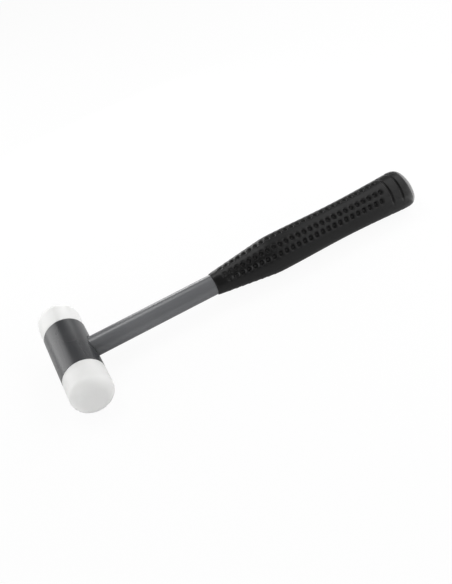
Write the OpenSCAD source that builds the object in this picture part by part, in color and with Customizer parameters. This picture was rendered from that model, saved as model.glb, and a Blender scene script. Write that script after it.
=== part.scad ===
// Soft face hammer: a solid steel head with two screwed-in nylon faces,
// a tubular steel handle wedged into the head, and a moulded rubber grip.
// It lies on its side: the handle runs along +X, the head's axis along Y, and +Z is up.

/* [Head] */
// Diameter of the steel head and of the soft faces
head_d = 35; // [32:0.5:45]
// Length of the steel part, between the two soft faces
head_len = 55; // [52:1:70]
// Chamfer on both end rims of the steel part
head_chamfer = 0.2; // [0.1:0.1:1]
// Distance from the head's axis to the floor of the blind handle bore
bore_floor = 11; // [4:0.5:13]
// Width of the relief gap round the tube at the mouth of the bore
mouth_gap = 0.5; // [0.2:0.1:1.2]
// Distance from the head's axis to the bottom of that relief
mouth_floor = 13.5; // [12:0.5:15]

/* [Soft faces] */
// Length of a soft face that stands out of the steel
face_len = 26.5; // [24:0.5:36]
// Radius of the rounded striking edge
face_edge_r = 8; // [3:0.5:12]
// Chamfer on the seat rim of a soft face
seat_chamfer = 0.3; // [0.1:0.1:1]
// Gap between a seated soft face and the steel
seat_gap = 0.05; // [0.02:0.01:0.2]

/* [Face studs] */
// Thread diameter of the stud
stud_d = 12; // [8:1:14]
// Length of the stud that screws into the steel
stud_in_head = 13; // [9:0.5:13]
// Depth of the stud in the soft face, to the outer side of its head
stud_in_face = 16; // [12:0.5:18]
// Width across the flats of the stud's hexagon head
stud_hex = 18; // [16:1:22]
// Height of the stud's hexagon head
stud_hex_h = 7.5; // [5:0.5:8]
// Chamfer on the stud's leading end
stud_chamfer = 1.2; // [0.5:0.1:2]
// Radial clearance of the stud in its tapped hole
thread_clear = 0.05; // [0.02:0.01:0.1]
// Depth of the tapped hole past the stud's end
tap_runout = 1; // [0.5:0.1:2]
// Chamfer at the mouth of the tapped hole
tap_lead = 0.8; // [0.3:0.1:1.5]

/* [Handle tube] */
// Outer diameter of the tube
tube_d = 17.5; // [15:0.5:19]
// Wall of the tube
tube_wall = 1.5; // [1:0.1:2.5]
// Length of the taper wedge in the tube's mouth
wedge_len = 16; // [10:1:24]
// How much thinner the wedge is at its nose
wedge_taper = 1.2; // [0.4:0.1:2]
// Thickness of the tube cap's flange
cap_flange_t = 2; // [1:0.5:4]
// Length of the tube cap's stem
cap_stem_len = 12; // [8:1:20]
// Wall of the tube cap
cap_wall = 1.6; // [1:0.1:2.4]
// Radial clearance between pieces that are pressed or moulded together
press_clear = 0.02; // [0.01:0.01:0.05]

/* [Grip shape] */
// Distance from the head's axis to the front lip of the grip
grip_front = 125; // [90:1:150]
// Length of the grip, to the far side of its slanted butt end
grip_len = 192.2; // [120:0.2:230]
// Diameter of the grip at its front lip
lip_d = 19; // [18.5:0.1:22]
// Chamfer on the outer rim of the front lip
lip_chamfer = 0.5; // [0.2:0.1:0.7]
// Where the crown of the swell lies, as a share of the grip's length
swell_share = 0.302; // [0.24:0.002:0.36]
// Diameter of the grip at the swell
swell_d = 32.6; // [28:0.2:35]
// Length over which the straight taper rounds into the swell
swell_blend = 8; // [4:1:16]
// Where the waist lies, as a share of the grip's length
waist_share = 0.624; // [0.5:0.002:0.7]
// Diameter of the grip at the waist
waist_d = 30.9; // [26:0.1:32]
// Straight length of the butt, between the flare and the rounded edge
butt_land = 5.5; // [5:0.5:10]
// Diameter of the grip at the butt
butt_d = 34.5; // [30:0.5:35]
// Radius of the rounded edge at the butt end
butt_edge_r = 8; // [4:0.5:8]
// Slant of the butt end off square, away from the upper pitted side, in degrees
butt_slant = 10; // [0:0.5:12]
// Thickness of rubber behind the tube cap
butt_wall = 7; // [5:0.5:10]

/* [Grip pattern] */
// How far the grip is turned on the tube towards the near face, in degrees
grip_turn = 12.5; // [0:0.5:20]
// Distance from the lip to the first pit of a row beside the smooth band
pit_first = 9.6; // [8:0.1:14]
// Least distance from the last pit to the butt end
pit_end_gap = 32; // [30:0.5:45]
// Distance between pits along a row
pit_pitch = 5.76; // [5:0.01:9]
// Opening of a pit
pit_d = 4.2; // [3:0.1:4.6]
// Depth of a pit where the rubber is thick enough for it
pit_depth = 2; // [0.6:0.1:2.1]
// Greatest depth of a pit as a share of the rubber's thickness over the tube
pit_wall_share = 0.5; // [0.2:0.05:0.6]
// Angle from the middle of the smooth band to the row beside it, in degrees
row_first = 20; // [18:0.5:24]
// Angle between neighbouring rows, in degrees
row_step = 26.5; // [22:0.5:28]
// Width of a butt groove
groove_w = 1.8; // [1:0.1:2.4]
// Depth of a butt groove
groove_depth = 1.1; // [0.5:0.1:1.5]
// Distance from the butt end to the last groove
groove_from_end = 16.4; // [15.4:0.1:19]
// Distance between the two grooves
groove_step = 9.3; // [6:0.1:10]
// Half the angle that a groove spans on each side of the grip, in degrees
groove_span = 66; // [50:1:75]

/* [Hidden] */
$fn = 64;
pit_facets = 16;
curve_steps = 10;
// Overrun of every cut, so that no two faces coincide
over = tube_wall;

// Number of rows on each side of the smooth band in the middle of a pitted side
rows_per_half = 2;
// The flare of the butt rises slowly at first
flare_power_share = 1.7;

head_r = head_d / 2;
tube_r = tube_d / 2;
tube_bore_r = tube_r - tube_wall;
grip_end = grip_front + grip_len;
tube_end = grip_end - butt_wall - cap_flange_t;
half_len = head_len / 2;
stud_hole_r = stud_d / 2 + thread_clear;
hole_depth = stud_in_head + tap_runout;
hex_corner_d = stud_hex / cos(30);

lip_r = lip_d / 2;
swell_r = swell_d / 2;
waist_r = waist_d / 2;
butt_r = butt_d / 2;
// The butt end is cut to a round bar that is a little wider than the butt
bar_r = butt_r + 2 * press_clear;
// On the handle's axis the rounded edge starts here, and round the grip the slant moves it
slant_slope = tan(butt_slant);
edge_at = grip_len - butt_edge_r / cos(butt_slant) - slant_slope * (bar_r - butt_edge_r);
butt_at = edge_at - butt_land;
swell_at = swell_share * grip_len;
waist_at = waist_share * grip_len;
taper_slope = (swell_r - lip_r) / (swell_at - swell_blend / 2);

// As many pits in a row as the length has room for, and one fewer in every other row
pit_count = floor((grip_len - pit_first - pit_end_gap) / pit_pitch) + 1;

// The head's axis crosses the handle's axis here, with the hammer lying on its side
// and the origin below the middle of its length
head_x = -(grip_end - head_r) / 2;

// How far along the way from one station to the next a distance lies, from 0 to 1
function way(x, from, to) = (x - from) / (to - from);

// Outer radius of the grip at a distance along it from the lip
function grip_r(x) =
    x < swell_at - swell_blend ? lip_r + taper_slope * x
    : x < swell_at ? swell_r - taper_slope * pow(swell_at - x, 2) / (2 * swell_blend)
    : x < waist_at ? waist_r + (swell_r - waist_r) * (1 + cos(180 * way(x, swell_at, waist_at))) / 2
    : x < butt_at ? waist_r + (butt_r - waist_r) * pow(way(x, waist_at, butt_at), flare_power_share)
    : butt_r;

// Depth of a pit at a distance along the grip, and the radius of the ball that leaves it
function pit_depth_at(x) = min(pit_depth, pit_wall_share * (grip_r(x) - tube_r));
function pit_ball_r(depth) = (pow(pit_d / 2, 2) + pow(depth, 2)) / (2 * depth);

// Evenly spaced distances from one station to the next, without the last
function stations(from, to, steps) = [for (i = [0 : steps - 1]) from + (to - from) * i / steps];

grip_stations = concat(
    [lip_chamfer],
    stations(swell_at - swell_blend, swell_at, curve_steps / 2),
    stations(swell_at, waist_at, curve_steps),
    stations(waist_at, butt_at, curve_steps),
    [butt_at, grip_len + over]
);

// Puts a piece drawn about the crossing of the two axes into the hammer's own frame
module placed() {
    translate([head_x, 0, head_r]) children();
}

// Turns a shape drawn along +Z so that it runs along the handle
module along_handle() {
    rotate([0, 90, 0]) children();
}

// Turns a shape drawn along +Z so that it runs out of the head, side -1 for near and 1 for far
module along_head(side) {
    rotate([-90 * side, 0, 0]) children();
}

// Tapped hole with a drill point below and a lead chamfer at its mouth, its mouth at z = 0, going down
module tapped_hole() {
    translate([0, 0, -hole_depth]) cylinder(r = stud_hole_r, h = hole_depth + over);
    translate([0, 0, -hole_depth - stud_hole_r / tan(59)])
        cylinder(r1 = 0, r2 = stud_hole_r, h = stud_hole_r / tan(59));
    translate([0, 0, -tap_lead]) cylinder(r1 = stud_hole_r, r2 = stud_hole_r + tap_lead, h = tap_lead);
}

module head_body() {
    color("#55575a") placed() difference() {
        along_head(1) rotate_extrude() polygon([
            [0, -half_len],
            [head_r - head_chamfer, -half_len],
            [head_r, -half_len + head_chamfer],
            [head_r, half_len - head_chamfer],
            [head_r - head_chamfer, half_len],
            [0, half_len]
        ]);
        translate([-bore_floor, 0, 0]) along_handle()
            cylinder(r = tube_r + press_clear, h = bore_floor + head_r + over);
        translate([mouth_floor, 0, 0]) along_handle()
            cylinder(r = tube_r + mouth_gap, h = head_r - mouth_floor + over);
        for (side = [-1, 1]) along_head(side) translate([0, 0, half_len]) tapped_hole();
    }
}

// Half outline of a soft face, its seat at y = 0 and its striking side at y = face_len
module face_outline() {
    straight = face_len - face_edge_r;
    polygon([
        [0, 0],
        [head_r - seat_chamfer, 0],
        [head_r, seat_chamfer],
        [head_r, straight],
        [0, straight]
    ]);
    translate([0, straight]) square([head_r - face_edge_r, face_edge_r]);
    intersection() {
        translate([head_r - face_edge_r, straight]) circle(r = face_edge_r);
        translate([head_r - face_edge_r, straight]) square(face_edge_r);
    }
}

// Shank and hexagon head of a stud, its shoulder line at z = 0, thicker all over by the given gap
module stud_shape(gap) {
    hex_bottom = stud_in_face - stud_hex_h;
    translate([0, 0, -stud_in_head]) cylinder(r = stud_d / 2 + gap, h = stud_in_head + hex_bottom + gap);
    translate([0, 0, hex_bottom - gap])
        cylinder(d = hex_corner_d + 2 * gap, h = stud_hex_h + 2 * gap, $fn = 6);
}

module soft_face(side) {
    color("#f2f2ee") placed() along_head(side) translate([0, 0, half_len + seat_gap]) difference() {
        rotate_extrude() face_outline();
        stud_shape(press_clear);
    }
}

module near_face() { soft_face(-1); }
module far_face() { soft_face(1); }

module face_stud(side) {
    nose_r = stud_d / 2 - stud_chamfer;
    color("#b4b6b8") placed() along_head(side) translate([0, 0, half_len + seat_gap]) difference() {
        stud_shape(0);
        translate([0, 0, -stud_in_head - over]) difference() {
            cylinder(r = stud_d, h = stud_chamfer + over);
            cylinder(r1 = nose_r - over, r2 = stud_d / 2, h = stud_chamfer + over);
        }
    }
}

module near_stud() { face_stud(-1); }
module far_stud() { face_stud(1); }

module handle_tube() {
    color("#7d8083") placed() translate([-bore_floor, 0, 0]) along_handle() difference() {
        cylinder(r = tube_r, h = bore_floor + tube_end);
        translate([0, 0, -over]) cylinder(r = tube_bore_r, h = bore_floor + tube_end + 2 * over);
    }
}

module handle_wedge() {
    base_r = tube_bore_r - press_clear;
    color("#9a9c9e") placed() translate([-bore_floor, 0, 0]) along_handle()
        cylinder(r1 = base_r, r2 = base_r - wedge_taper / 2, h = wedge_len);
}

module tube_cap() {
    stem_r = tube_bore_r - press_clear;
    color("#3a3a3c") placed() translate([tube_end, 0, 0]) along_handle() difference() {
        rotate_extrude() polygon([
            [0, -cap_stem_len],
            [stem_r, -cap_stem_len],
            [stem_r, 0],
            [tube_r, 0],
            [tube_r, cap_flange_t],
            [0, cap_flange_t]
        ]);
        translate([0, 0, -cap_stem_len - over]) cylinder(r = stem_r - cap_wall, h = cap_stem_len + over);
    }
}

// One row of pits at an angle round the handle, each the mark of a ball
// Every other row lies half a pitch further along and has one pit fewer
module pit_row(angle, moved) {
    rotate([angle, 0, 0]) for (i = [0 : pit_count - 1 - moved]) {
        x = pit_first + (i + moved / 2) * pit_pitch;
        depth = pit_depth_at(x);
        ball_r = pit_ball_r(depth);
        translate([x, 0, grip_r(x) + ball_r - depth]) sphere(r = ball_r, $fn = pit_facets);
    }
}

// One groove round part of the butt, at a distance along the grip
module butt_groove(x) {
    centre_r = grip_r(x) + groove_w / 2 - groove_depth;
    translate([x, 0, 0]) along_handle() rotate([0, 0, 180 - groove_span])
        rotate_extrude(angle = 2 * groove_span)
            translate([centre_r, 0]) circle(d = groove_w, $fn = pit_facets);
}

// Pits and grooves of one side of the grip, about straight up
module side_pattern() {
    for (half = [-1, 1]) for (row = [0 : rows_per_half - 1])
        pit_row(half * (row_first + row * row_step), row % 2);
    for (i = [0, 1]) butt_groove(grip_len - groove_from_end - i * groove_step);
}

// Round bar with the rounded edge at its end
// Sliding it along the handle in step with the height gives the end its slant
module slanted_bar() {
    multmatrix([[1, 0, -slant_slope, 0], [0, 1, 0, 0], [0, 0, 1, 0]])
        along_handle() rotate_extrude() polygon(concat(
            [[0, -butt_r], [bar_r, -butt_r]],
            [for (i = [0 : curve_steps]) let (a = 90 * i / curve_steps)
                [bar_r - butt_edge_r * (1 - cos(a)), edge_at + butt_edge_r * sin(a)]],
            [[0, edge_at + butt_edge_r]]
        ));
}

module grip() {
    bore_len = tube_end + cap_flange_t - grip_front;
    color("#232325") placed() translate([grip_front, 0, 0]) rotate([grip_turn, 0, 0]) difference() {
        intersection() {
            along_handle() rotate_extrude() polygon(concat(
                [[0, 0], [lip_r - lip_chamfer, 0]],
                [for (x = grip_stations) [grip_r(x), x]],
                [[0, grip_len + over]]
            ));
            slanted_bar();
        }
        translate([-over, 0, 0]) along_handle() cylinder(r = tube_r + press_clear, h = bore_len + over);
        for (side = [0, 1]) rotate([180 * side, 0, 0]) side_pattern();
    }
}

head_body();
near_face();
far_face();
near_stud();
far_stud();
handle_tube();
handle_wedge();
tube_cap();
grip();
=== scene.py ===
# %% [markdown]
# # Soft face hammer
# A steel head with a white nylon striking face screwed into each end, a painted steel tube for a
# handle, and a black rubber grip. The CAD model is loaded first and stays where it is: it gives every
# place and size. This lesson dresses it: it moulds the grip's skin with its pits, cuts real threads on
# the studs, and gives each piece the material that it has on the bench.

# %% Load the CAD model
import math

import bmesh
import bpy
from mathutils import Matrix, Vector


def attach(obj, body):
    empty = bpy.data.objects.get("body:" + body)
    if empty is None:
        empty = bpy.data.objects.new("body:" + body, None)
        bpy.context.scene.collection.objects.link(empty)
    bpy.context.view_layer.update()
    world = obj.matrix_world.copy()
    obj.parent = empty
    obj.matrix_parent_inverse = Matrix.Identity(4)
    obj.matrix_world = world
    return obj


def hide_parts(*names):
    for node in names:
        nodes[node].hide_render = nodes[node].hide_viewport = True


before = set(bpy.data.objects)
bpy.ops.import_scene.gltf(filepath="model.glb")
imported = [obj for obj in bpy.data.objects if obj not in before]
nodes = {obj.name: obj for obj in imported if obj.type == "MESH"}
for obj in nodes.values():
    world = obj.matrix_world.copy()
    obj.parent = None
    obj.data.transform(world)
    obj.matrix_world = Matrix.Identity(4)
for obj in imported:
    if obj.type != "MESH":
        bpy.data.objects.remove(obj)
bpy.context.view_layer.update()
print("CAD nodes:", sorted(nodes))

# %% [markdown]
# ## Sizes
# The sizes repeat those of the CAD model, in millimetres, and MM turns them to Blender's metres. The
# two axes of the hammer cross in the middle of the head, and everything is measured from there.

# %% Sizes of the hammer
MM = 0.001
HEAD_R = 17.5 * MM
TUBE_R = 8.75 * MM
GRIP_FRONT = 125 * MM
GRIP_LEN = 192.2 * MM
CROSSING = Vector((-(GRIP_FRONT + GRIP_LEN - HEAD_R) / 2, 0, HEAD_R))
GRIP_PLACE = CROSSING + Vector((GRIP_FRONT, 0, 0))
print("axes cross at", [round(v / MM, 2) for v in CROSSING], "mm")

# %% [markdown]
# ## The grip's outline
# The grip is a moulded rubber sleeve. It leaves the tube in a straight taper, rounds into a swell that
# fills the palm, draws in to a waist and flares to the butt. The butt's rounded end doesn't stand square
# to the handle: it leans by ten degrees, so it is shorter on the upper side. A curve drawn by hand could
# give the outline, but a rule for the radius at each distance from the front lip keeps it the same as
# that of the solid model.

# %% Radius of the grip along its length
LIP_R, SWELL_R, WAIST_R, BUTT_R = 9.5 * MM, 16.3 * MM, 15.45 * MM, 17.25 * MM
BUTT_EDGE, BUTT_LAND, SWELL_BLEND = 8 * MM, 5.5 * MM, 8 * MM
SWELL_SHARE, WAIST_SHARE = 0.302, 0.624
BUTT_SLANT, GRIP_TURN = math.radians(10), math.radians(12.5)
FLARE_POWER = 1.7

SWELL_AT, WAIST_AT = SWELL_SHARE * GRIP_LEN, WAIST_SHARE * GRIP_LEN
SLOPE = math.tan(BUTT_SLANT)
EDGE_LIFT = BUTT_EDGE * (1 / math.cos(BUTT_SLANT) - 1)
END_AT = GRIP_LEN - EDGE_LIFT - SLOPE * (BUTT_R - BUTT_EDGE)
EDGE_AT = END_AT - BUTT_EDGE
BUTT_AT = EDGE_AT - BUTT_LAND
TAPER = (SWELL_R - LIP_R) / (SWELL_AT - SWELL_BLEND / 2)


def grip_radius(x):
    if x < SWELL_AT - SWELL_BLEND:
        return LIP_R + TAPER * x
    if x < SWELL_AT:
        return SWELL_R - TAPER * (SWELL_AT - x) ** 2 / (2 * SWELL_BLEND)
    if x < WAIST_AT:
        ease = (1 + math.cos(math.pi * (x - SWELL_AT) / (WAIST_AT - SWELL_AT))) / 2
        return WAIST_R + (SWELL_R - WAIST_R) * ease
    if x < BUTT_AT:
        flare = ((x - WAIST_AT) / (BUTT_AT - WAIST_AT)) ** FLARE_POWER
        return WAIST_R + (BUTT_R - WAIST_R) * flare
    if x < EDGE_AT:
        return BUTT_R
    return BUTT_R - BUTT_EDGE + math.sqrt(max(0, BUTT_EDGE ** 2 - (x - EDGE_AT) ** 2))


for spot, x in (("swell", SWELL_AT), ("waist", WAIST_AT), ("butt", BUTT_AT)):
    print("grip radius at the", spot, round(grip_radius(x) / MM, 2), "mm")

# %% [markdown]
# ## The grip as a flat sheet
# Pits are hard to model on a round bar and easy on a flat sheet. So the skin is first drawn flat: x is
# the distance along the grip, y the angle round it and z the radius. Each side has two rows of pits on
# either side of a smooth band, and the outer row is moved by half a pitch. The sheet's lines are laid so
# that one face is one pit, and that face is marked for the node tree. Faces of the two butt grooves are
# marked as well. The sheet also runs back through the bore, so that it rolls up into a closed solid.

# %% Lay out the lines round the grip and the rows along it
PIT_PITCH, PIT_FIRST, PIT_COUNT = 5.76 * MM, 9.6 * MM, 27
ROW_FIRST, ROW_STEP = 20, 26.5
GROOVE_SPAN, GROOVE_HALF, GROOVE_SUPPORT = 66, 0.9 * MM, 0.8 * MM
GROOVES = [GRIP_LEN - from_end * MM for from_end in (25.7, 16.4)]
END_WALL, GRIP_FIT, BORE_ROUND, BORE_FLAT_SHARE = 7 * MM, 0.02 * MM, 1 * MM, 0.9
MOUTH_LEAD, MOUTH_FLARE, LIP_ROUND, LIP_RINGS = 0.4 * MM, 0.1 * MM, 0.45 * MM, (1.2 * MM, 3.8 * MM)
EDGE_SHARES, END_SHARES = (0, 0.35, 0.55, 0.72, 0.86, 0.95, 0.99, 1), (0.95, 0.6, 0.25, 0)

half_lines = [ROW_FIRST + ROW_STEP * share for share in (-0.5, 0.5, 1.5)] + [GROOVE_SPAN]
side_lines = [-a for a in reversed(half_lines)] + half_lines
lines = [-90] + side_lines + [90] + [180 + a for a in side_lines] + [270]

bore_r, bore_end = TUBE_R + GRIP_FIT, GRIP_LEN - END_WALL
path = [(bore_end, 0.0), (bore_end, bore_r * BORE_FLAT_SHARE), (bore_end - BORE_ROUND, bore_r)]
path += [(GRIP_LEN / 2, bore_r), (MOUTH_LEAD, bore_r), (0.0, bore_r + MOUTH_FLARE)]
path += [(0.0, LIP_R - LIP_ROUND), (LIP_ROUND, LIP_R)]
path += [(x, grip_radius(x)) for x in LIP_RINGS]
first_ring = len(path)
stops = [PIT_FIRST + PIT_PITCH * (i - 1) / 2 for i in range(2 * PIT_COUNT + 1)]
for groove in GROOVES:
    for half in (GROOVE_HALF + GROOVE_SUPPORT, GROOVE_HALF):
        stops += [groove - half, groove + half]
stops += [sum(GROOVES) / 2, (GROOVES[1] + EDGE_AT) / 2]
stops += [EDGE_AT + BUTT_EDGE * share for share in EDGE_SHARES]
path += [(x, grip_radius(x)) for x in sorted(stops)]
path += [(END_AT, (BUTT_R - BUTT_EDGE) * share) for share in END_SHARES]
print("sheet:", len(path), "rows,", len(lines), "lines")

# %% Choose the faces that become pits and grooves, and the rows that lean
ROW_TOLERANCE = 0.01


def off_side(j):
    middle = (lines[j] + lines[j + 1]) / 2
    return abs(middle) if middle < 90 else abs(middle - 180)


def mark_grip(i, j):
    """How many rows the face takes, and whether it is a pit or in a groove."""
    row = (off_side(j) - ROW_FIRST) / ROW_STEP
    moved = round(row)
    in_row = moved in (0, 1) and abs(row - moved) < ROW_TOLERANCE
    ring = i - first_ring
    if in_row and ring >= moved and (ring - moved) % 2 == 0 and ring + moved < 2 * PIT_COUNT:
        return 2, 1, 0
    x_middle = (path[i][0] + path[i + 1][0]) / 2
    in_groove = ring > 0 and any(abs(x_middle - groove) < GROOVE_HALF / 2 for groove in GROOVES)
    return 1, 0, int(in_groove and off_side(j) < GROOVE_SPAN)


def lean_grip(i):
    share = (path[i][0] - BUTT_AT) / (EDGE_AT - BUTT_AT) if i >= first_ring else 0
    return SLOPE * min(max(share, 0), 1)


faces = [(i, j) for j in range(len(lines) - 1) for i in range(len(path) - 1)]
print("pits to press:", sum(mark_grip(i, j)[1] for i, j in faces))


# %% Build the sheet from the path and the lines
def flat_sheet(name, path, lines, mark=None, lean=None):
    """Rows follow the path, columns the lines; mark(i, j) gives a face's rows, and its two marks.
    lean(i) is the slope at which a row leans back on the upper side."""
    sheet = bmesh.new()
    turns = [math.radians(a) for a in lines]
    grid = []
    for i, (x, r) in enumerate(path):
        slope = lean(i) if lean else 0
        grid.append([sheet.verts.new((x - slope * r * math.cos(turn), turn, r)) for turn in turns])
    layers = [sheet.faces.layers.int.new(label) for label in ("pit", "groove")]
    for j in range(len(lines) - 1):
        i = 0
        while i < len(path) - 1:
            rows, *marks = mark(i, j) if mark else (1, 0, 0)
            near = [grid[i + k][j] for k in range(rows + 1)]
            far = [grid[i + k][j + 1] for k in range(rows + 1)]
            face = sheet.faces.new([near[0]] + far + near[:0:-1])
            for layer, value in zip(layers, marks):
                face[layer] = value
            i += rows
    mesh = bpy.data.meshes.new(name)
    sheet.to_mesh(mesh)
    sheet.free()
    return mesh


skin = flat_sheet("grip_sheet", path, lines, mark_grip, lean_grip)
for label in ("pit", "groove"):
    print(sum(face.value for face in skin.attributes[label].data), "faces are marked as", label)

# %% [markdown]
# ## Pressing the pits
# The node tree presses each marked face in three steps, each a smaller ring: the first keeps the rim at
# the surface, and the next two lie deeper. It puts a ring's corners where an oval of the real size needs
# them, and subdivision rounds the six-sided ring to that oval. Where the rubber is thin, near the lip,
# the pits are shallower and narrower. A Boolean with many small cutters could do the same, but it is slow
# and leaves sharp, ragged rims, where moulded rubber has soft ones.
#
# Two small functions serve every tree of this lesson: one fills a node's sockets with values or links,
# and one adds a node with its settings, so that a tree reads like a list.


# %% Start a node tree for geometry
def fill(node, *values, **inputs):
    """Values go to the first sockets, inputs to the named ones. A node stands for its first output."""
    sockets = list(zip(node.inputs, values))
    sockets += [(node.inputs[name.replace("_", " ")], value) for name, value in inputs.items()]
    for socket, value in sockets:
        if isinstance(value, bpy.types.Node):
            value = next(output for output in value.outputs if output.enabled)
        if isinstance(value, bpy.types.NodeSocket):
            node.id_data.links.new(value, socket)
        else:
            socket.default_value = value


def add(tree, kind, settings=None, *values, **inputs):
    """Settings are names and values, or the name of the node's operation alone."""
    made = tree.nodes.new(kind)
    if isinstance(settings, str):
        settings = {"operation": settings}
    for name, value in (settings or {}).items():
        setattr(made, name, value)
    fill(made, *values, **inputs)
    return made


def start_tree(name, **sizes):
    tree = bpy.data.node_groups.new(name, "GeometryNodeTree")
    tree.interface.new_socket("Geometry", in_out="OUTPUT", socket_type="NodeSocketGeometry")
    tree.interface.new_socket("Sheet", in_out="INPUT", socket_type="NodeSocketGeometry")
    for label, kind in sizes.items():
        label = label.replace("_", " ")
        tree.interface.new_socket(label, in_out="INPUT", socket_type="NodeSocket" + kind)
    return tree, tree.nodes.new("NodeGroupInput").outputs


press, given = start_tree("press_pits_and_grooves", Pit_length="Float", Pit_width="Float",
                          Pit_depth="Float", Pit_wall_share="Float", Tube_radius="Float",
                          Row_half_angle="Float", Groove_depth="Float")
print("pressing tree takes", [socket.name for socket in given if socket.name])

# %% Find where a corner lies in its cell, and how deep the pit may be
MIDDLE_ZONE = 0.2 * MM
place = add(press, "GeometryNodeInputPosition")
pit_mark = add(press, "GeometryNodeInputNamedAttribute", {"data_type": "INT"}, Name="pit")
groove_mark = add(press, "GeometryNodeInputNamedAttribute", {"data_type": "INT"}, Name="groove")
kept = add(press, "GeometryNodeStoreNamedAttribute", {"data_type": "FLOAT_VECTOR", "domain": "FACE"},
           Geometry=given["Sheet"], Name="cell", Value=place)
cell = add(press, "GeometryNodeInputNamedAttribute", {"data_type": "FLOAT_VECTOR"}, Name="cell")
here = add(press, "ShaderNodeSeparateXYZ", Vector=place).outputs
middle = add(press, "ShaderNodeSeparateXYZ", Vector=cell).outputs
from_middle = add(press, "ShaderNodeMath", "SUBTRACT", here["X"], middle["X"])
distance = add(press, "ShaderNodeMath", "ABSOLUTE", from_middle)
off_middle = add(press, "ShaderNodeMath", "GREATER_THAN", distance, MIDDLE_ZONE)
ahead = add(press, "ShaderNodeMath", "SIGN", from_middle)
side_x = add(press, "ShaderNodeMath", "MULTIPLY", ahead, off_middle)
round_middle = add(press, "ShaderNodeMath", "SUBTRACT", here["Y"], middle["Y"])
side_y = add(press, "ShaderNodeMath", "SIGN", round_middle)
rubber_wall = add(press, "ShaderNodeMath", "SUBTRACT", middle["Z"], given["Tube radius"])
most = add(press, "ShaderNodeMath", "MULTIPLY", rubber_wall, given["Pit wall share"])
depth = add(press, "ShaderNodeMath", "MINIMUM", given["Pit depth"], most)
print("pressing tree has", len(press.nodes), "nodes so far")

# %% Press the rings
# An oval rounded out of six corners is smaller than they are, by these shares
OVAL_X, OVAL_Y = 0.958, 0.833
# The size of each ring and its depth, as shares of the pit's; and how much of its row a pit may take
PIT_RINGS, ROW_ROOM = ((1.25, 0.0), (0.98, 0.25), (0.62, 1.15)), 0.85
geometry, selected = kept, pit_mark
for ring_share, depth_share in PIT_RINGS:
    ring = add(press, "GeometryNodeExtrudeMesh", {"mode": "FACES"},
               Mesh=geometry, Selection=selected, Offset_Scale=0.0, Individual=True)
    half_x = add(press, "ShaderNodeMath", "MULTIPLY", given["Pit length"], 0.5 * ring_share / OVAL_X)
    half_y = add(press, "ShaderNodeMath", "MULTIPLY", given["Pit width"], 0.5 * ring_share / OVAL_Y)
    wanted = add(press, "ShaderNodeMath", "DIVIDE", half_y, middle["Z"])
    room = add(press, "ShaderNodeMath", "MULTIPLY", given["Row half angle"], ROW_ROOM * ring_share)
    half_angle = add(press, "ShaderNodeMath", "MINIMUM", wanted, room)
    corner_share = add(press, "ShaderNodeMath", "MULTIPLY_ADD", off_middle, -0.5, 1.0)
    corner_angle = add(press, "ShaderNodeMath", "MULTIPLY", half_angle, corner_share)
    target = add(press, "ShaderNodeCombineXYZ",
                 X=add(press, "ShaderNodeMath", "MULTIPLY_ADD", side_x, half_x, middle["X"]),
                 Y=add(press, "ShaderNodeMath", "MULTIPLY_ADD", side_y, corner_angle, middle["Y"]),
                 Z=add(press, "ShaderNodeMath", "MULTIPLY_ADD", depth, -depth_share, middle["Z"]))
    geometry = add(press, "GeometryNodeSetPosition", Geometry=ring.outputs["Mesh"],
                   Selection=ring.outputs["Top"], Position=target)
    selected = ring.outputs["Top"]
print("pressing tree has", len(press.nodes), "nodes with its rings")

# %% Sink the grooves and round everything
sunk = add(press, "GeometryNodeExtrudeMesh", {"mode": "FACES"},
           Mesh=geometry, Selection=groove_mark, Offset_Scale=0.0, Individual=False)
fall = add(press, "ShaderNodeMath", "MULTIPLY", given["Groove depth"], -1.0)
sunk_down = add(press, "GeometryNodeSetPosition", Geometry=sunk.outputs["Mesh"],
                Selection=sunk.outputs["Top"], Offset=add(press, "ShaderNodeCombineXYZ", Z=fall))
fine = add(press, "GeometryNodeSubdivisionSurface", Mesh=sunk_down, Level=2)
add(press, "NodeGroupOutput", Geometry=fine)
print("pressing tree has", len(press.nodes), "nodes in all")

# %% [markdown]
# ## Rolling a sheet up
# The second tree rolls any sheet up, with y as the angle and z as the radius. A Simple Deform modifier
# bends a sheet too, but there the radius follows from the sheet's length. The grip has been rounded by
# subdivision before that, so it stays perfectly round. The studs are rolled by the same tree.

# %% Node tree: roll up
SEAM = 0.002 * MM
roll, given = start_tree("roll_up", Turn="Float", Material="Material")
here = add(roll, "ShaderNodeSeparateXYZ", Vector=add(roll, "GeometryNodeInputPosition")).outputs
angle = add(roll, "ShaderNodeMath", "ADD", here["Y"], given["Turn"])
sine = add(roll, "ShaderNodeMath", "SINE", angle)
cosine = add(roll, "ShaderNodeMath", "COSINE", angle)
away = add(roll, "ShaderNodeMath", "MULTIPLY", sine, here["Z"])
across = add(roll, "ShaderNodeMath", "MULTIPLY", away, -1.0)
height = add(roll, "ShaderNodeMath", "MULTIPLY", cosine, here["Z"])
round_place = add(roll, "ShaderNodeCombineXYZ", X=here["X"], Y=across, Z=height)
rolled = add(roll, "GeometryNodeSetPosition", Geometry=given["Sheet"], Position=round_place)
closed = add(roll, "GeometryNodeMergeByDistance", Geometry=rolled, Distance=SEAM)
smooth = add(roll, "GeometryNodeSetShadeSmooth", Geometry=closed)
real = add(roll, "GeometryNodeRealizeInstances", Geometry=smooth)
done = add(roll, "GeometryNodeSetMaterial", Geometry=real, Material=given["Material"])
add(roll, "NodeGroupOutput", Geometry=done)
print("roll-up tree has", len(roll.nodes), "nodes")


# %% [markdown]
# ## Materials
# Each material is named for what it is and how its surface was made. The photo is nearly without
# colour, so the greys carry the difference: paint with a soft gloss, milky nylon and dull rubber. A
# colour is written as the hex value that a paint program shows, and the shader wants it linear.

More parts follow.
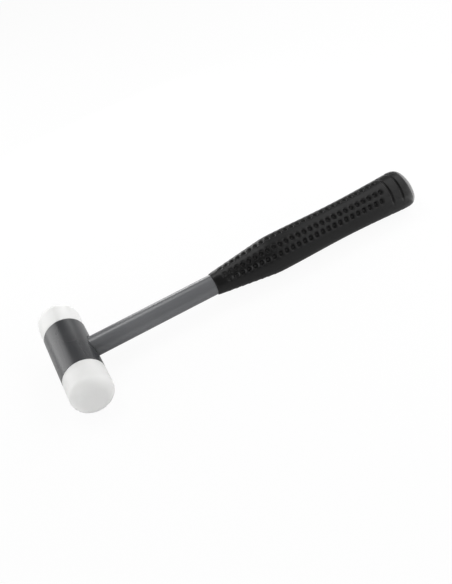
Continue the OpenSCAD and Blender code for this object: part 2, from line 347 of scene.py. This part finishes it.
# %% Colours, and the start of a material
# Blender's noise seldom leaves these bounds, so a range of gloss is spread between them
NOISE_LOW, NOISE_HIGH = 0.3, 0.7


def linear(hex_colour):
    channels = [int(hex_colour[i:i + 2], 16) / 255 for i in (1, 3, 5)]
    return [c / 12.92 if c <= 0.04045 else ((c + 0.055) / 1.055) ** 2.4 for c in channels] + [1.0]


def start_material(name, **base):
    made = bpy.data.materials.new(name)
    made.use_nodes = True
    shader = made.node_tree.nodes["Principled BSDF"]
    fill(shader, **base)
    where = add(made.node_tree, "ShaderNodeTexCoord").outputs["Object"]
    return made, made.node_tree, shader, where


print("mid grey #808080 is", round(linear("#808080")[0], 3), "to the shader")


# %% [markdown]
# ### Stoved paint on the head and the tube
# The head is turned steel with a coat of dark grey stoving paint, and the tube has a lighter one. The
# coat has a soft gloss, the faint orange peel that sprayed paint dries to, and a slight cloudiness. A
# picture of paint could give the same, but noise in real sizes needs no file and shows no seam.

# %% Stoved grey paint
PAINT_CLOUD, PAINT_TONE_LOW, PAINT_TONE_HIGH, PAINT_GLOSS_RANGE = 35 * MM, 0.35, 0.65, 0.02
# Real orange peel is about 0.5 mm wide; 0.9 mm is drawn so that it shows
PEEL_WIDTH, PEEL_HEIGHT = 0.9 * MM, 0.02 * MM


def stoved_paint(name, dark, light, roughness):
    made, tree, shader, where = start_material(name, IOR=1.5)
    clouds = add(tree, "ShaderNodeTexNoise", Vector=where, Scale=1 / PAINT_CLOUD, Detail=1.0)
    lightness = add(tree, "ShaderNodeMapRange", Value=clouds,
                    From_Min=PAINT_TONE_LOW, From_Max=PAINT_TONE_HIGH)
    tone = add(tree, "ShaderNodeMix", {"data_type": "RGBA"},
               Factor=lightness, A=linear(dark), B=linear(light))
    gloss = add(tree, "ShaderNodeMapRange", Value=clouds, From_Min=NOISE_LOW, From_Max=NOISE_HIGH,
                To_Min=roughness - PAINT_GLOSS_RANGE, To_Max=roughness + PAINT_GLOSS_RANGE)
    peel = add(tree, "ShaderNodeTexNoise", Vector=where, Scale=1 / PEEL_WIDTH, Detail=2.0)
    bump = add(tree, "ShaderNodeBump", Height=peel, Strength=0.12, Distance=PEEL_HEIGHT)
    fill(shader, Base_Color=tone, Roughness=gloss, Normal=bump)
    return made


head_paint = stoved_paint("stoved dark grey paint", "#2a2b2d", "#2e2f31", 0.28)
tube_paint = stoved_paint("stoved mid grey paint", "#58595b", "#5d5e60", 0.3)
print("paints:", head_paint.name, "and", tube_paint.name)

# %% [markdown]
# ### Moulded nylon
# The faces are moulded in white nylon, with a low sheen and faint flow clouds from the mould. A plain
# white shader would look like plaster, because light goes a few millimetres into nylon and softens every
# shade on it. Subsurface scattering does that.

# %% Moulded white nylon
FLOW_CLOUD, SKIN_GRAIN, SKIN_HEIGHT = 9 * MM, 0.7 * MM, 0.02 * MM
nylon, tree, shader, where = start_material("moulded white nylon", IOR=1.53, Subsurface_Weight=1.0,
                                            Subsurface_Scale=6 * MM, Subsurface_Radius=(1.0, 1.0, 1.0))
flow = add(tree, "ShaderNodeTexNoise", Vector=where, Scale=1 / FLOW_CLOUD, Detail=4.0, Roughness=0.55)
tone = add(tree, "ShaderNodeMix", {"data_type": "RGBA"},
           Factor=flow, A=linear("#d3d3d2"), B=linear("#d9d9d8"))
sheen = add(tree, "ShaderNodeMapRange", Value=flow, From_Min=NOISE_LOW, From_Max=NOISE_HIGH,
            To_Min=0.36, To_Max=0.46)
skin_grain = add(tree, "ShaderNodeTexNoise", Vector=where, Scale=1 / SKIN_GRAIN, Detail=2.0)
bump = add(tree, "ShaderNodeBump", Height=skin_grain, Strength=0.08, Distance=SKIN_HEIGHT)
fill(shader, Base_Color=tone, Roughness=sheen, Normal=bump)
print(nylon.name, "has", len(tree.nodes), "nodes")

# %% [markdown]
# ### Moulded rubber
# The grip is black rubber from a spark-eroded mould, which leaves a fine even grain and a dull sheen.
# The round end of the butt carries a painted highlight. There the rubber turns a lighter grey, with less
# grain and less gloss, and that grey stands for the band of light that the rounded end catches from the
# lamps on the right. It runs up to a line that leans with the end. A second material on those faces could
# do it, but its border would follow the mesh. Here the shader measures along the grip, so the line is
# where the painted highlight starts.

# %% Where the butt's end carries its painted highlight
# Where the painted highlight on the butt's end begins, and the width of its soft edge
RIM_HIGHLIGHT_FROM, RIM_HIGHLIGHT_BLEND = EDGE_AT + 3.4 * MM, 0.3 * MM
rubber, tree, shader, where = start_material("moulded black rubber", IOR=1.52, Specular_IOR_Level=0.2)
leaning = Vector((1, -SLOPE * math.sin(GRIP_TURN), SLOPE * math.cos(GRIP_TURN)))
rim_highlight_line = leaning.dot(GRIP_PLACE) + RIM_HIGHLIGHT_FROM
along_grip = add(tree, "ShaderNodeVectorMath", "DOT_PRODUCT", where, leaning)
painted_rim_highlight = add(tree, "ShaderNodeMapRange", Value=along_grip,
             From_Min=rim_highlight_line, From_Max=rim_highlight_line + RIM_HIGHLIGHT_BLEND)
print("painted_highlight starts", round((END_AT - RIM_HIGHLIGHT_FROM) / MM, 2), "mm before the end")

# %% Moulded black rubber
WEAR_CLOUD, SPARK_GRAIN, SPARK_HEIGHT = 18 * MM, 0.6 * MM, 0.04 * MM
wear = add(tree, "ShaderNodeTexNoise", Vector=where, Scale=1 / WEAR_CLOUD, Detail=4.0, Roughness=0.6)
black = add(tree, "ShaderNodeMix", {"data_type": "RGBA"},
            Factor=wear, A=linear("#090909"), B=linear("#0f0f0f"))
# Painted highlight: the butt's end is mixed to grey where it stands in for the light it catches from the
# right
tone = add(tree, "ShaderNodeMix", {"data_type": "RGBA"}, Factor=painted_rim_highlight, A=black, B=linear("#5a5a5a"))
dull = add(tree, "ShaderNodeMapRange", Value=wear, From_Min=NOISE_LOW, From_Max=NOISE_HIGH,
           To_Min=0.33, To_Max=0.4)
gloss = add(tree, "ShaderNodeMix", Factor=painted_rim_highlight, A=dull, B=0.5)
grain = add(tree, "ShaderNodeTexVoronoi", Vector=where, Scale=1 / SPARK_GRAIN)
grain_left = add(tree, "ShaderNodeMapRange", Value=painted_rim_highlight, To_Min=0.25, To_Max=0.05)
bump = add(tree, "ShaderNodeBump", Height=grain, Strength=grain_left, Distance=SPARK_HEIGHT)
fill(shader, Base_Color=tone, Roughness=gloss, Normal=bump)
print(rubber.name, "has", len(tree.nodes), "nodes")

# %% [markdown]
# ### Bare steel and moulded plastic
# The studs are zinc plated, with the blue-white gloss of plating. The wedge is turned steel, with fine
# rings from the tool. The tube's cap is plain black plastic. They show only with a face drawn out, or
# not at all, so one grey could do, but each has its own finish for whoever takes the hammer apart.

# %% Zinc plated steel
PLATING_BLOOM = 5 * MM
zinc, tree, shader, where = start_material("zinc plated steel", Metallic=1.0)
bloom = add(tree, "ShaderNodeTexNoise", Vector=where, Scale=1 / PLATING_BLOOM, Detail=4.0)
tone = add(tree, "ShaderNodeMix", {"data_type": "RGBA"},
           Factor=bloom, A=linear("#b3b6ba"), B=linear("#c9cccf"))
plating = add(tree, "ShaderNodeMapRange", Value=bloom, From_Min=NOISE_LOW, From_Max=NOISE_HIGH,
              To_Min=0.24, To_Max=0.36)
fill(shader, Base_Color=tone, Roughness=plating)
print(zinc.name, "has", len(tree.nodes), "nodes")

# %% Turned steel and black plastic
TOOL_RING, SPECKLE = 1.2 * MM, 3 * MM
turned, tree, shader, where = start_material("turned bright steel", Metallic=1.0,
                                             Base_Color=linear("#b0b1b3"))
rings = add(tree, "ShaderNodeTexWave", {"bands_direction": "X"},
            Vector=where, Scale=1 / TOOL_RING, Distortion=0.4)
fill(shader, Roughness=add(tree, "ShaderNodeMapRange", Value=rings.outputs["Fac"],
                           To_Min=0.26, To_Max=0.42))

cap_plastic, tree, shader, where = start_material("moulded black polyethylene", IOR=1.51)
speckle = add(tree, "ShaderNodeTexNoise", Vector=where, Scale=1 / SPECKLE, Detail=3.0)
tone = add(tree, "ShaderNodeMix", {"data_type": "RGBA"},
           Factor=speckle, A=linear("#202022"), B=linear("#29292b"))
matt = add(tree, "ShaderNodeMapRange", Value=speckle, To_Min=0.5, To_Max=0.65)
fill(shader, Base_Color=tone, Roughness=matt)
print("materials:", [material.name for material in bpy.data.materials])


# %% [markdown]
# ## Making the grip
# The tree's sizes go in by their sockets' identifiers before the sheet is first worked out. The result
# is turned into a plain mesh, moved to its place on the tube, and takes the place of the CAD grip. A live
# modifier would look the same, but a plain mesh is what the export and the poses can carry.

# %% Work a sheet out
def show(name, mesh):
    piece = bpy.data.objects.new(name, mesh)
    bpy.context.scene.collection.objects.link(piece)
    return piece


def work(piece, tree, **sizes):
    step = piece.modifiers.new(tree.name, "NODES")
    step.node_group = tree
    inputs = [item for item in tree.interface.items_tree if item.in_out == "INPUT"]
    sockets = {item.name: item.identifier for item in inputs}
    for label, value in sizes.items():
        step[sockets[label.replace("_", " ")]] = value


def worked_out(piece):
    depsgraph = bpy.context.evaluated_depsgraph_get()
    mesh = bpy.data.meshes.new_from_object(piece.evaluated_get(depsgraph), depsgraph=depsgraph)
    bpy.data.objects.remove(piece)
    return mesh


grip_sheet = show("grip_sheet", skin)
work(grip_sheet, press, Pit_length=3.7 * MM, Pit_width=4.5 * MM, Pit_depth=2 * MM, Pit_wall_share=0.5,
     Tube_radius=TUBE_R, Row_half_angle=math.radians(ROW_STEP / 2), Groove_depth=1.3 * MM)
work(grip_sheet, roll, Turn=GRIP_TURN, Material=rubber)
grip_mesh = worked_out(grip_sheet)
print("grip:", len(grip_mesh.polygons), "faces")

# %% Put the grip on the tube
grip_mesh.transform(Matrix.Translation(GRIP_PLACE))
grip = show("grip_skin", grip_mesh)
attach(grip, "hammer")
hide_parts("grip")
grip_mesh.calc_loop_triangles()
print("grip:", len(grip_mesh.loop_triangles), "triangles")

# %% [markdown]
# ## The studs and their threads
# Each soft face is screwed on a stud that is moulded into it. The thread is the real one for a 12 mm
# stud: a helix of 1.75 mm pitch with 60 degree flanks, flattened at crest and root. A Screw modifier
# could wind it, but it leaves both ends open. On the flat sheet a thread is a wave that runs slantwise,
# because one turn moves it by one pitch. The node tree works that wave out for every point, the lead
# chamfer cuts the first turns short, and the tree from before rolls the sheet up.

# %% Node tree: cut a thread
# Of each pitch an eighth is flat at the crest and a quarter at the root, half of it on either side
CREST_TO, ROOT_FROM, AXIS_ZONE = 1 / 16, 3 / 8, 0.5 * MM
thread, given = start_tree("cut_thread", Pitch="Float", Major_radius="Float", Thread_depth="Float",
                           Chamfer="Float")
here = add(thread, "ShaderNodeSeparateXYZ", Vector=add(thread, "GeometryNodeInputPosition")).outputs
turns = add(thread, "ShaderNodeMath", "DIVIDE", here["Y"], 2 * math.pi)
pitches = add(thread, "ShaderNodeMath", "DIVIDE", here["X"], given["Pitch"])
slant = add(thread, "ShaderNodeMath", "SUBTRACT", pitches, turns)
wave = add(thread, "ShaderNodeMath", "PINGPONG", slant, 0.5)
flank = add(thread, "ShaderNodeMapRange", Value=wave, From_Min=CREST_TO, From_Max=ROOT_FROM)
cut = add(thread, "ShaderNodeMath", "MULTIPLY", flank, given["Thread depth"])
cut_r = add(thread, "ShaderNodeMath", "SUBTRACT", given["Major radius"], cut)
tip_r = add(thread, "ShaderNodeMath", "SUBTRACT", given["Major radius"], given["Chamfer"])
lead_r = add(thread, "ShaderNodeMath", "ADD", tip_r, here["X"])
shank_r = add(thread, "ShaderNodeMath", "MINIMUM", cut_r, lead_r)
on_shank = add(thread, "ShaderNodeMath", "GREATER_THAN", here["Z"], AXIS_ZONE)
new_r = add(thread, "ShaderNodeMath", "MULTIPLY", shank_r, on_shank)
new_place = add(thread, "ShaderNodeCombineXYZ", X=here["X"], Y=here["Y"], Z=new_r)
shaped = add(thread, "GeometryNodeSetPosition", Geometry=given["Sheet"], Position=new_place)
add(thread, "NodeGroupOutput", Geometry=shaped)
print("thread tree has", len(thread.nodes), "nodes")

# %% Sizes of the studs, and the sheet of a shank
HEAD_HALF = 27.5 * MM
STUD_R, STUD_IN_HEAD, STUD_IN_FACE = 6 * MM, 13 * MM, 16 * MM
HEX_FLATS, HEX_H, HEX_OVERLAP = 18 * MM, 7.5 * MM, 1 * MM
THREAD_PITCH, THREAD_DEPTH, THREAD_EASE, LEAD_CHAMFER = 1.75 * MM, 1.07 * MM, 0.02 * MM, 1.2 * MM
SEAT_GAP = 0.05 * MM
SHANK_STEPS, SHANK_SIDES = 130, 48
stud_len = STUD_IN_HEAD + STUD_IN_FACE
shank_len = stud_len - HEX_H + HEX_OVERLAP
stud_path = [(0, 0)] + [(shank_len * i / SHANK_STEPS, STUD_R) for i in range(SHANK_STEPS + 1)]
stud_path += [(shank_len, 0)]
stud_lines = [360 * i / SHANK_SIDES for i in range(SHANK_SIDES + 1)]
print("shank:", round(shank_len / MM, 1), "mm, or", round(shank_len / THREAD_PITCH, 1), "turns of thread")


# %% Roll up the two studs, with their hexagon heads
def threaded_shank():
    sheet = show("stud_sheet", flat_sheet("stud_sheet", stud_path, stud_lines))
    work(sheet, thread, Pitch=THREAD_PITCH, Major_radius=STUD_R - THREAD_EASE,
         Thread_depth=THREAD_DEPTH, Chamfer=LEAD_CHAMFER)
    work(sheet, roll, Turn=0.0, Material=zinc)
    return worked_out(sheet)


def add_hexagon(whole):
    corner_r = HEX_FLATS / math.sqrt(3)
    hexagon = bmesh.ops.create_cone(whole, cap_ends=True, segments=6, radius1=corner_r,
                                    radius2=corner_r, depth=HEX_H)["verts"]
    bmesh.ops.rotate(whole, verts=hexagon, matrix=Matrix.Rotation(math.pi / 2, 3, "Y"))
    bmesh.ops.translate(whole, verts=hexagon, vec=(stud_len - HEX_H / 2, 0, 0))
    for face in {face for corner in hexagon for face in corner.link_faces}:
        face.smooth = False


for side, name, body in ((-1, "near_stud", "near_tip"), (1, "far_stud", "far_tip")):
    stud_mesh = threaded_shank()
    whole = bmesh.new()
    whole.from_mesh(stud_mesh)
    add_hexagon(whole)
    along = Matrix(((0, -side, 0), (side, 0, 0), (0, 0, 1))).to_4x4()
    seat = Vector((0, side * (HEAD_HALF + SEAT_GAP - STUD_IN_HEAD), 0))
    whole.transform(Matrix.Translation(CROSSING + seat) @ along)
    bmesh.ops.recalc_face_normals(whole, faces=whole.faces[:])
    whole.to_mesh(stud_mesh)
    whole.free()
    stud = show(name + "_threaded", stud_mesh)
    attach(stud, body)
    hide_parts(name)
    print(stud.name, "has", len(stud_mesh.polygons), "faces")

# %% [markdown]
# ## Dressing the CAD pieces
# The head, the faces, the tube and the inner pieces are turned, drawn or moulded in plain round forms.
# They could be built again here, but the solids have the right shape and rounded edges already, so they
# stay and get their material.

# %% Put the materials on the CAD pieces
DRESS = (("head_body", head_paint), ("near_face", nylon), ("far_face", nylon),
         ("handle_tube", tube_paint), ("handle_wedge", turned), ("tube_cap", cap_plastic))
for node, material in DRESS:
    mesh = nodes[node].data
    mesh.materials.clear()
    mesh.materials.append(material)
    print(node, "is", material.name)

# %% [markdown]
# ## Camera
# The camera was solved from the outlines of the head and the tube, which is surer than moving it by eye.
# It stands in front of the near face and well above it. A camera that isn't turned looks straight down,
# so it is tilted up, panned a little to the right and rolled, and the handle climbs to the right.

# %% Camera
FOCAL_PX, PICTURE_H, SENSOR, CLIP_START = 750, 584, 36, 0.01
TILT, PAN, ROLL = math.radians(49.5094), math.radians(-13.846), math.radians(-18.3218)
STAND = Vector((19.43, -461.21, 392.04)) * MM
camera_data = bpy.data.cameras.new("camera")
camera_data.sensor_width = SENSOR
camera_data.lens = FOCAL_PX / PICTURE_H * SENSOR
camera_data.clip_start = CLIP_START
camera = bpy.data.objects.new("camera", camera_data)
bpy.context.scene.collection.objects.link(camera)
turn = Matrix.Rotation(PAN, 4, "Z") @ Matrix.Rotation(TILT, 4, "X") @ Matrix.Rotation(ROLL, 4, "Z")
camera.matrix_world = Matrix.Translation(CROSSING + STAND) @ turn
bpy.context.scene.camera = camera
print("lens", round(camera_data.lens, 1), "mm, camera", round(STAND.length / MM), "mm from the head")

# %% [markdown]
# ## Floor, backdrop and light
# The hammer lies on a white sheet that is white to the camera, and keeps a little of the shadow. More
# lamps could make the sheet white as well, but they would wash out the paint. The room is darker in
# front and behind than at the sides, so that the paint and the rubber keep their depth.

# %% Floor
FLOOR_HALF, WHITE_SHARE = 6.0, 0.93
corners = [(x * FLOOR_HALF, y * FLOOR_HALF, 0) for x, y in ((-1, -1), (1, -1), (1, 1), (-1, 1))]
floor_mesh = bpy.data.meshes.new("floor")
floor_mesh.from_pydata(corners, [], [(0, 1, 2, 3)])
floor = show("floor", floor_mesh)
paper, tree, shader, where = start_material("white paper sweep", Roughness=0.9,
                                            Base_Color=linear("#e0e0e0"))
plain = add(tree, "ShaderNodeEmission", Color=linear("#ffffff"), Strength=1.0)
ray = add(tree, "ShaderNodeLightPath")
seen = add(tree, "ShaderNodeMath", "MULTIPLY", ray.outputs["Is Camera Ray"], WHITE_SHARE)
mixed = add(tree, "ShaderNodeMixShader", None, seen, shader, plain)
fill(tree.nodes["Material Output"], Surface=mixed)
floor_mesh.materials.append(paper)
print("floor is", paper.name)

# %% World
# How far to the side a ray goes, from 0 to 1, and the grey that it meets there
ROOM_GREYS, ROOM_STRENGTH = ((0.12, 0.05), (0.45, 0.23), (0.9, 0.50)), 2.0
world = bpy.data.worlds.new("studio")
world.use_nodes = True
bpy.context.scene.world = world
sky = world.node_tree
backdrop = sky.nodes["Background"]
fill(backdrop, Color=linear("#ffffff"))
outward = add(sky, "ShaderNodeTexCoord").outputs["Generated"]
direction = add(sky, "ShaderNodeSeparateXYZ", Vector=outward)
sideways = add(sky, "ShaderNodeMath", "ABSOLUTE", direction.outputs["X"])
walls = add(sky, "ShaderNodeValToRGB", Fac=sideways)
walls.color_ramp.elements.new(ROOM_GREYS[1][0])
for stop, (spot, grey) in zip(walls.color_ramp.elements, ROOM_GREYS):
    stop.position = spot
    stop.color = (grey, grey, grey, 1)
room = add(sky, "ShaderNodeBackground", Color=walls, Strength=ROOM_STRENGTH)
look = add(sky, "ShaderNodeLightPath")
both = add(sky, "ShaderNodeMixShader", None, look.outputs["Is Camera Ray"], room, backdrop)
fill(sky.nodes["World Output"], Surface=both)
print("room greys:", [grey for _, grey in ROOM_GREYS])


# %% [markdown]
# ## Soft boxes
# Glossy pieces show the lamps, so each box has its place. The left one draws the light band on the head.
# The top one and the low strip behind draw the streak on the tube. The one over the grip and the one
# before it lift the rubber, and two small ones beyond the butt light its rounded edge. The front one
# fills the near nylon face. One large lamp would be simpler, but it would draw one band on everything.

# %% Soft boxes
def soft_box(name, centre, aim, width, height, power):
    lamp = bpy.data.lights.new("soft_box_" + name, "AREA")
    lamp.shape, lamp.size, lamp.size_y, lamp.energy = "RECTANGLE", width, height, power
    box = bpy.data.objects.new(lamp.name, lamp)
    bpy.context.scene.collection.objects.link(box)
    box.visible_camera = False
    facing = (Vector(aim) - Vector(centre)).to_track_quat("-Z", "Y")
    box.matrix_world = Matrix.Translation(centre) @ facing.to_matrix().to_4x4()


soft_box("left", centre=(-0.525, 0.65, 0.30), aim=(-0.149, 0, 0.30), width=0.52, height=0.66, power=2.3)
soft_box("top", centre=(-0.15, 0.38, 0.8), aim=(-0.15, 0.379, 0), width=0.44, height=0.42, power=3.0)
soft_box("right", centre=(0.33, 0.0, 0.05), aim=(0.15, 0.0, 0.049), width=0.3, height=0.1, power=0.2)
soft_box("low", centre=(0.252, 0.02, 0.001), aim=(0.252, 0.021, 1), width=0.166, height=0.24, power=0.24)
soft_box("over", centre=(0.45, -0.08, 0.5), aim=(0.45, -0.081, 0), width=0.4, height=0.9, power=2.7)
soft_box("fore", centre=(0.5, -0.65, 0.25), aim=(0.1, 0, 0.03), width=0.45, height=0.45, power=1.3)
soft_box("strip", centre=(0.0, 0.42, 0.11), aim=(0.0, 0, 0.10), width=0.16, height=0.14, power=0.38)
soft_box("front", centre=(-0.75, -0.75, 0.35), aim=(-0.15, 0, 0.02), width=0.5, height=0.5, power=3.2)
bpy.context.scene.view_settings.view_transform = "Standard"
lamps = bpy.data.lights
print(len(lamps), "soft boxes,", round(sum(lamp.energy for lamp in lamps), 2), "W in all")
